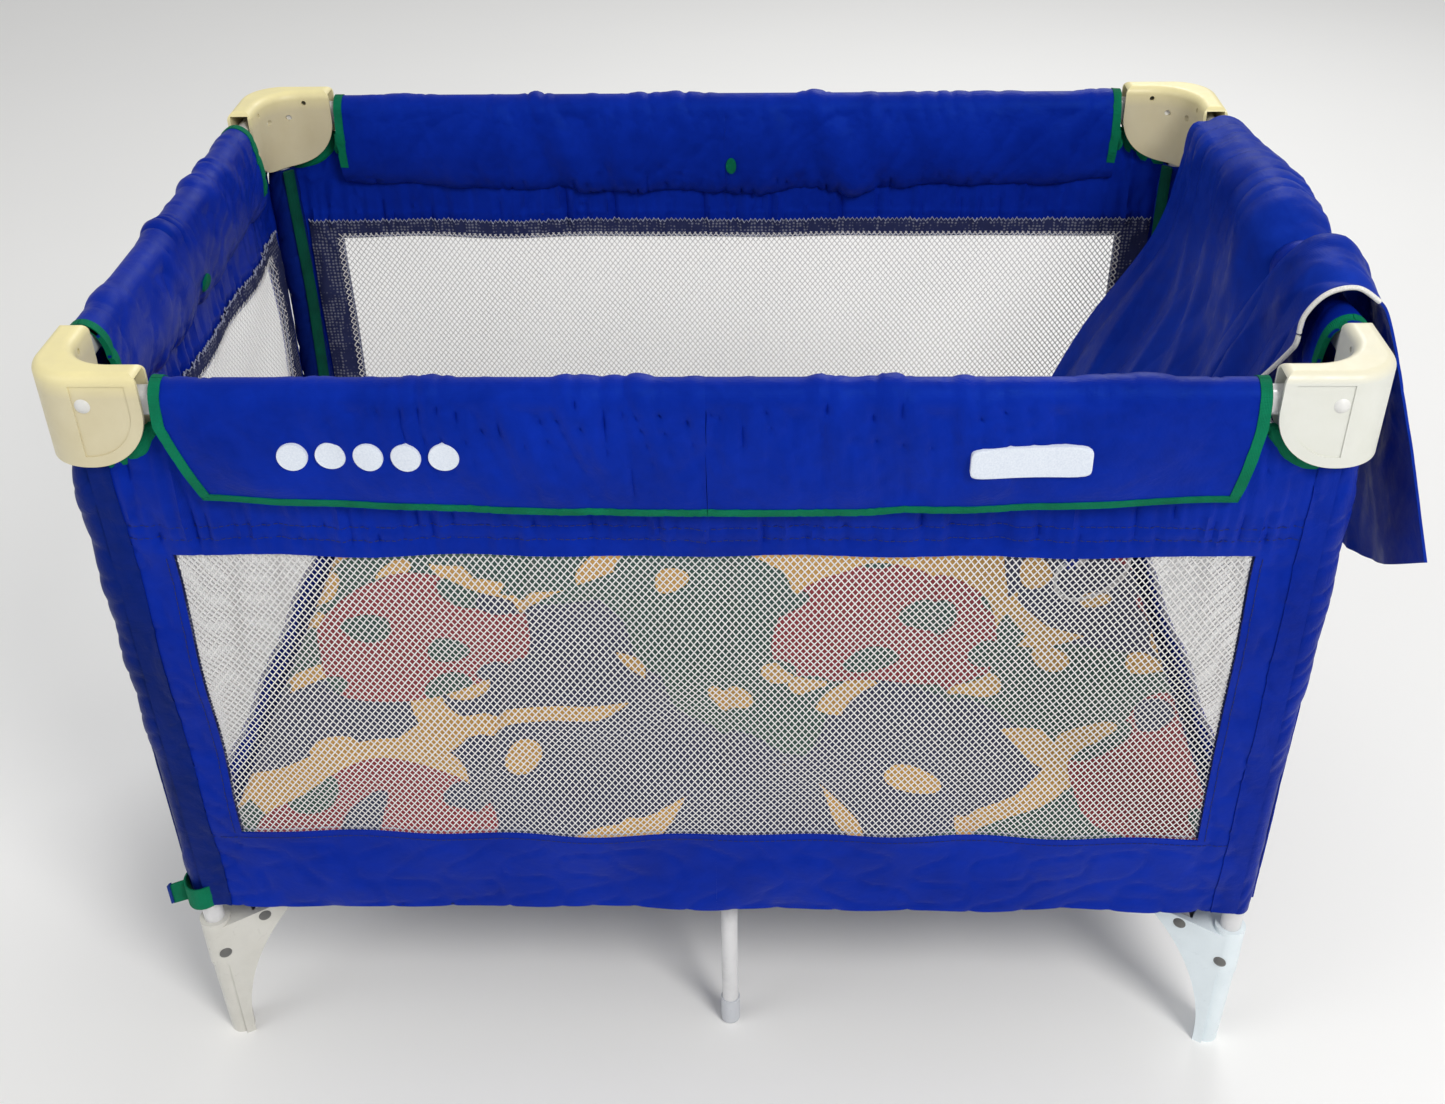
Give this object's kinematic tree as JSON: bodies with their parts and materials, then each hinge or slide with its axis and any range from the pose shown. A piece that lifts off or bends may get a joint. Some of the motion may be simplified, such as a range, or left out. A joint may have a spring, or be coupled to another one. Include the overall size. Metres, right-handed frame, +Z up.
{
  "type": "folding playpen",
  "caption": "Rectangular folding travel playpen with padded top rails, net side windows, corner caps, folding hub base, mattress pad and a storage bag over one rail.",
  "frame": {"origin": "on the floor, under the middle of the frame", "axes": "+Z up, +X to the right along the long side, -Y to the front"},
  "size_m": [1.0803, 0.661, 0.774],
  "materials": {
    "post_enamel": "gloss white enamel",
    "rail_enamel": "gloss white enamel",
    "base_enamel": "gloss white enamel",
    "latch_plastic": "moulded",
    "button_plastic": "moulded",
    "cover_fabric": "woven nylon, padded",
    "cap_plastic": "aged cream moulding",
    "rivet_metal": "domed",
    "foot_plastic": "white moulding",
    "leg_tip_plastic": "white moulding",
    "sleeve_fabric": "woven nylon",
    "panel_fabric": "woven nylon with open net window",
    "hub_plastic": "moulded",
    "webbing": "woven webbing",
    "floor_fabric": "woven nylon",
    "mattress_print": "printed cotton in soft blobs",
    "bag_nylon": "thin nylon",
    "drawstring": "braided cord"
  },
  "bodies": {
    "hub": {"hub_housing": "hub_plastic", "hub_pins": "rivet_metal", "hub_pull_strap": "webbing", "floor_cloth": "floor_fabric"},
    "base_front_left": {"base_tube_front_left": "base_enamel"},
    "corner_front_left": {"corner_post_front_left": "post_enamel", "corner_cap_front_left": "cap_plastic", "corner_rivets_front_left": "rivet_metal", "corner_foot_front_left": "foot_plastic", "post_sleeve_front_left": "sleeve_fabric", "side_panel_front": "panel_fabric", "webbing_tab": "webbing"},
    "base_front_right": {"base_tube_front_right": "base_enamel"},
    "corner_front_right": {"corner_post_front_right": "post_enamel", "corner_cap_front_right": "cap_plastic", "corner_rivets_front_right": "rivet_metal", "corner_foot_front_right": "foot_plastic", "post_sleeve_front_right": "sleeve_fabric", "side_panel_right": "panel_fabric"},
    "base_rear_left": {"base_tube_rear_left": "base_enamel"},
    "corner_rear_left": {"corner_post_rear_left": "post_enamel", "corner_cap_rear_left": "cap_plastic", "corner_rivets_rear_left": "rivet_metal", "corner_foot_rear_left": "foot_plastic", "post_sleeve_rear_left": "sleeve_fabric", "side_panel_left": "panel_fabric"},
    "base_rear_right": {"base_tube_rear_right": "base_enamel"},
    "corner_rear_right": {"corner_post_rear_right": "post_enamel", "corner_cap_rear_right": "cap_plastic", "corner_rivets_rear_right": "rivet_metal", "corner_foot_rear_right": "foot_plastic", "post_sleeve_rear_right": "sleeve_fabric", "side_panel_rear": "panel_fabric"},
    "rail_front_left": {"rail_front_left": "rail_enamel", "rail_cover_front": "cover_fabric"},
    "rail_front_right": {"rail_front_right": "rail_enamel"},
    "rail_rear_left": {"rail_rear_left": "rail_enamel"},
    "rail_rear_right": {"rail_rear_right": "rail_enamel", "rail_cover_rear": "cover_fabric"},
    "rail_left_front": {"rail_left_front": "rail_enamel"},
    "rail_left_rear": {"rail_left_rear": "rail_enamel", "rail_cover_left": "cover_fabric"},
    "rail_right_front": {"rail_right_front": "rail_enamel", "rail_cover_right": "cover_fabric"},
    "rail_right_rear": {"rail_right_rear": "rail_enamel"},
    "latch_front": {"rail_latch_front": "latch_plastic"},
    "button_front": {"latch_button_front": "button_plastic"},
    "latch_rear": {"rail_latch_rear": "latch_plastic"},
    "button_rear": {"latch_button_rear": "button_plastic"},
    "latch_left": {"rail_latch_left": "latch_plastic"},
    "button_left": {"latch_button_left": "button_plastic"},
    "latch_right": {"rail_latch_right": "latch_plastic"},
    "button_right": {"latch_button_right": "button_plastic"},
    "mid_leg_front": {"mid_leg_front": "base_enamel", "mid_leg_tip_front": "leg_tip_plastic"},
    "mid_leg_rear": {"mid_leg_rear": "base_enamel", "mid_leg_tip_rear": "leg_tip_plastic"},
    "mattress": {"mattress": "mattress_print"},
    "bag": {"carry_bag": "bag_nylon", "bag_drawstring": "drawstring"}
  },
  "joints": [
    {"name": "fold", "type": "hinge", "parent": "hub", "child": "base_front_left", "pos_m": [-0.02558, -0.04182, 0.146], "axis": [0.4926, -0.8702, 0], "range_deg": [0, 80], "deforming": ["side_panel_front", "side_panel_rear", "side_panel_left", "side_panel_right", "rail_cover_front", "rail_cover_rear", "rail_cover_left", "rail_cover_right", "floor_cloth", "mattress", "carry_bag", "bag_drawstring", "webbing_tab", "hub_pull_strap", "post_sleeve_front_left", "post_sleeve_front_right", "post_sleeve_rear_left", "post_sleeve_rear_right"]},
    {"name": "foot_hinge_front_left", "type": "hinge", "parent": "base_front_left", "child": "corner_front_left", "pos_m": [-0.44158, -0.27732, 0.146], "axis": [0.4926, -0.8702, 0], "range_deg": [-80, 0]},
    {"name": "base_hinge_front_right", "type": "hinge", "parent": "hub", "child": "base_front_right", "pos_m": [0.02558, -0.04182, 0.146], "axis": [0.4926, 0.8702, 0], "range_deg": [0, 80]},
    {"name": "foot_hinge_front_right", "type": "hinge", "parent": "base_front_right", "child": "corner_front_right", "pos_m": [0.44158, -0.27732, 0.146], "axis": [0.4926, 0.8702, 0], "range_deg": [-80, 0]},
    {"name": "base_hinge_rear_left", "type": "hinge", "parent": "hub", "child": "base_rear_left", "pos_m": [-0.02558, 0.04182, 0.146], "axis": [-0.4926, -0.8702, 0], "range_deg": [0, 80]},
    {"name": "foot_hinge_rear_left", "type": "hinge", "parent": "base_rear_left", "child": "corner_rear_left", "pos_m": [-0.44158, 0.27732, 0.146], "axis": [-0.4926, -0.8702, 0], "range_deg": [-80, 0]},
    {"name": "base_hinge_rear_right", "type": "hinge", "parent": "hub", "child": "base_rear_right", "pos_m": [0.02558, 0.04182, 0.146], "axis": [-0.4926, 0.8702, 0], "range_deg": [0, 80]},
    {"name": "foot_hinge_rear_right", "type": "hinge", "parent": "base_rear_right", "child": "corner_rear_right", "pos_m": [0.44158, 0.27732, 0.146], "axis": [-0.4926, 0.8702, 0], "range_deg": [-80, 0]},
    {"name": "rail_front_left_hinge", "type": "hinge", "parent": "corner_front_left", "child": "rail_front_left", "pos_m": [-0.461, -0.3135, 0.722], "axis": [0, 1, 0], "range_deg": [0, 80]},
    {"name": "rail_front_right_hinge", "type": "hinge", "parent": "corner_front_right", "child": "rail_front_right", "pos_m": [0.461, -0.3135, 0.722], "axis": [0, -1, 0], "range_deg": [0, 80]},
    {"name": "rail_rear_left_hinge", "type": "hinge", "parent": "corner_rear_left", "child": "rail_rear_left", "pos_m": [-0.461, 0.3135, 0.722], "axis": [0, 1, 0], "range_deg": [0, 80]},
    {"name": "rail_rear_right_hinge", "type": "hinge", "parent": "corner_rear_right", "child": "rail_rear_right", "pos_m": [0.461, 0.3135, 0.722], "axis": [0, -1, 0], "range_deg": [0, 80]},
    {"name": "rail_left_front_hinge", "type": "hinge", "parent": "corner_front_left", "child": "rail_left_front", "pos_m": [-0.494, -0.2805, 0.722], "axis": [-1, 0, 0], "range_deg": [0, 80]},
    {"name": "rail_left_rear_hinge", "type": "hinge", "parent": "corner_rear_left", "child": "rail_left_rear", "pos_m": [-0.494, 0.2805, 0.722], "axis": [1, 0, 0], "range_deg": [0, 80]},
    {"name": "rail_right_front_hinge", "type": "hinge", "parent": "corner_front_right", "child": "rail_right_front", "pos_m": [0.494, -0.2805, 0.722], "axis": [-1, 0, 0], "range_deg": [0, 80]},
    {"name": "rail_right_rear_hinge", "type": "hinge", "parent": "corner_rear_right", "child": "rail_right_rear", "pos_m": [0.494, 0.2805, 0.722], "axis": [1, 0, 0], "range_deg": [0, 80]},
    {"name": "latch_front_hinge", "type": "hinge", "parent": "rail_front_left", "child": "latch_front", "pos_m": [-0.045, -0.3135, 0.722], "axis": [0, 1, 0], "range_deg": [-80, 0]},
    {"name": "button_front_press", "type": "slide", "parent": "latch_front", "child": "button_front", "axis": [0, 0, 1], "range_m": [0, 0.005], "stiffness_N_per_m": 400, "springref_m": -0.002},
    {"name": "latch_rear_hinge", "type": "hinge", "parent": "rail_rear_right", "child": "latch_rear", "pos_m": [0.045, 0.3135, 0.722], "axis": [0, -1, 0], "range_deg": [-80, 0]},
    {"name": "button_rear_press", "type": "slide", "parent": "latch_rear", "child": "button_rear", "axis": [0, 0, 1], "range_m": [0, 0.005], "stiffness_N_per_m": 400, "springref_m": -0.002},
    {"name": "latch_left_hinge", "type": "hinge", "parent": "rail_left_rear", "child": "latch_left", "pos_m": [-0.494, 0.045, 0.722], "axis": [1, 0, 0], "range_deg": [-80, 0]},
    {"name": "button_left_press", "type": "slide", "parent": "latch_left", "child": "button_left", "axis": [0, 0, 1], "range_m": [0, 0.005], "stiffness_N_per_m": 400, "springref_m": -0.002},
    {"name": "latch_right_hinge", "type": "hinge", "parent": "rail_right_front", "child": "latch_right", "pos_m": [0.494, -0.045, 0.722], "axis": [-1, 0, 0], "range_deg": [-80, 0]},
    {"name": "button_right_press", "type": "slide", "parent": "latch_right", "child": "button_right", "axis": [0, 0, 1], "range_m": [0, 0.005], "stiffness_N_per_m": 400, "springref_m": -0.002},
    {"name": "mid_leg_front_hinge", "type": "hinge", "parent": "hub", "child": "mid_leg_front", "pos_m": [0.01, -0.062, 0.156], "axis": [1, 0, 0], "range_deg": [0, 80]},
    {"name": "mid_leg_rear_hinge", "type": "hinge", "parent": "hub", "child": "mid_leg_rear", "pos_m": [-0.01, 0.062, 0.156], "axis": [-1, 0, 0], "range_deg": [0, 80]},
    {"name": "mattress_lift", "type": "slide", "parent": "hub", "child": "mattress", "axis": [0, 0, 1], "range_m": [0, 0.2239]},
    {"name": "bag_lift", "type": "slide", "parent": "hub", "child": "bag", "axis": [0, 0, 1], "range_m": [0, 0.3635]}
  ],
  "couplings": [
    {"joint": "foot_hinge_front_left", "follows": "fold", "ratio": -1},
    {"joint": "base_hinge_front_right", "follows": "fold", "ratio": 1},
    {"joint": "foot_hinge_front_right", "follows": "fold", "ratio": -1},
    {"joint": "base_hinge_rear_left", "follows": "fold", "ratio": 1},
    {"joint": "foot_hinge_rear_left", "follows": "fold", "ratio": -1},
    {"joint": "base_hinge_rear_right", "follows": "fold", "ratio": 1},
    {"joint": "foot_hinge_rear_right", "follows": "fold", "ratio": -1},
    {"joint": "rail_front_left_hinge", "follows": "fold", "ratio": 1},
    {"joint": "rail_front_right_hinge", "follows": "fold", "ratio": 1},
    {"joint": "rail_rear_left_hinge", "follows": "fold", "ratio": 1},
    {"joint": "rail_rear_right_hinge", "follows": "fold", "ratio": 1},
    {"joint": "rail_left_front_hinge", "follows": "fold", "ratio": 1},
    {"joint": "rail_left_rear_hinge", "follows": "fold", "ratio": 1},
    {"joint": "rail_right_front_hinge", "follows": "fold", "ratio": 1},
    {"joint": "rail_right_rear_hinge", "follows": "fold", "ratio": 1},
    {"joint": "latch_front_hinge", "follows": "fold", "ratio": -1},
    {"joint": "latch_rear_hinge", "follows": "fold", "ratio": -1},
    {"joint": "latch_left_hinge", "follows": "fold", "ratio": -1},
    {"joint": "latch_right_hinge", "follows": "fold", "ratio": -1},
    {"joint": "mid_leg_front_hinge", "follows": "fold", "ratio": 1},
    {"joint": "mid_leg_rear_hinge", "follows": "fold", "ratio": 1},
    {"joint": "mattress_lift", "follows": "fold", "m_per_rad": 0.16},
    {"joint": "bag_lift", "follows": "fold", "m_per_rad": 0.26}
  ]
}
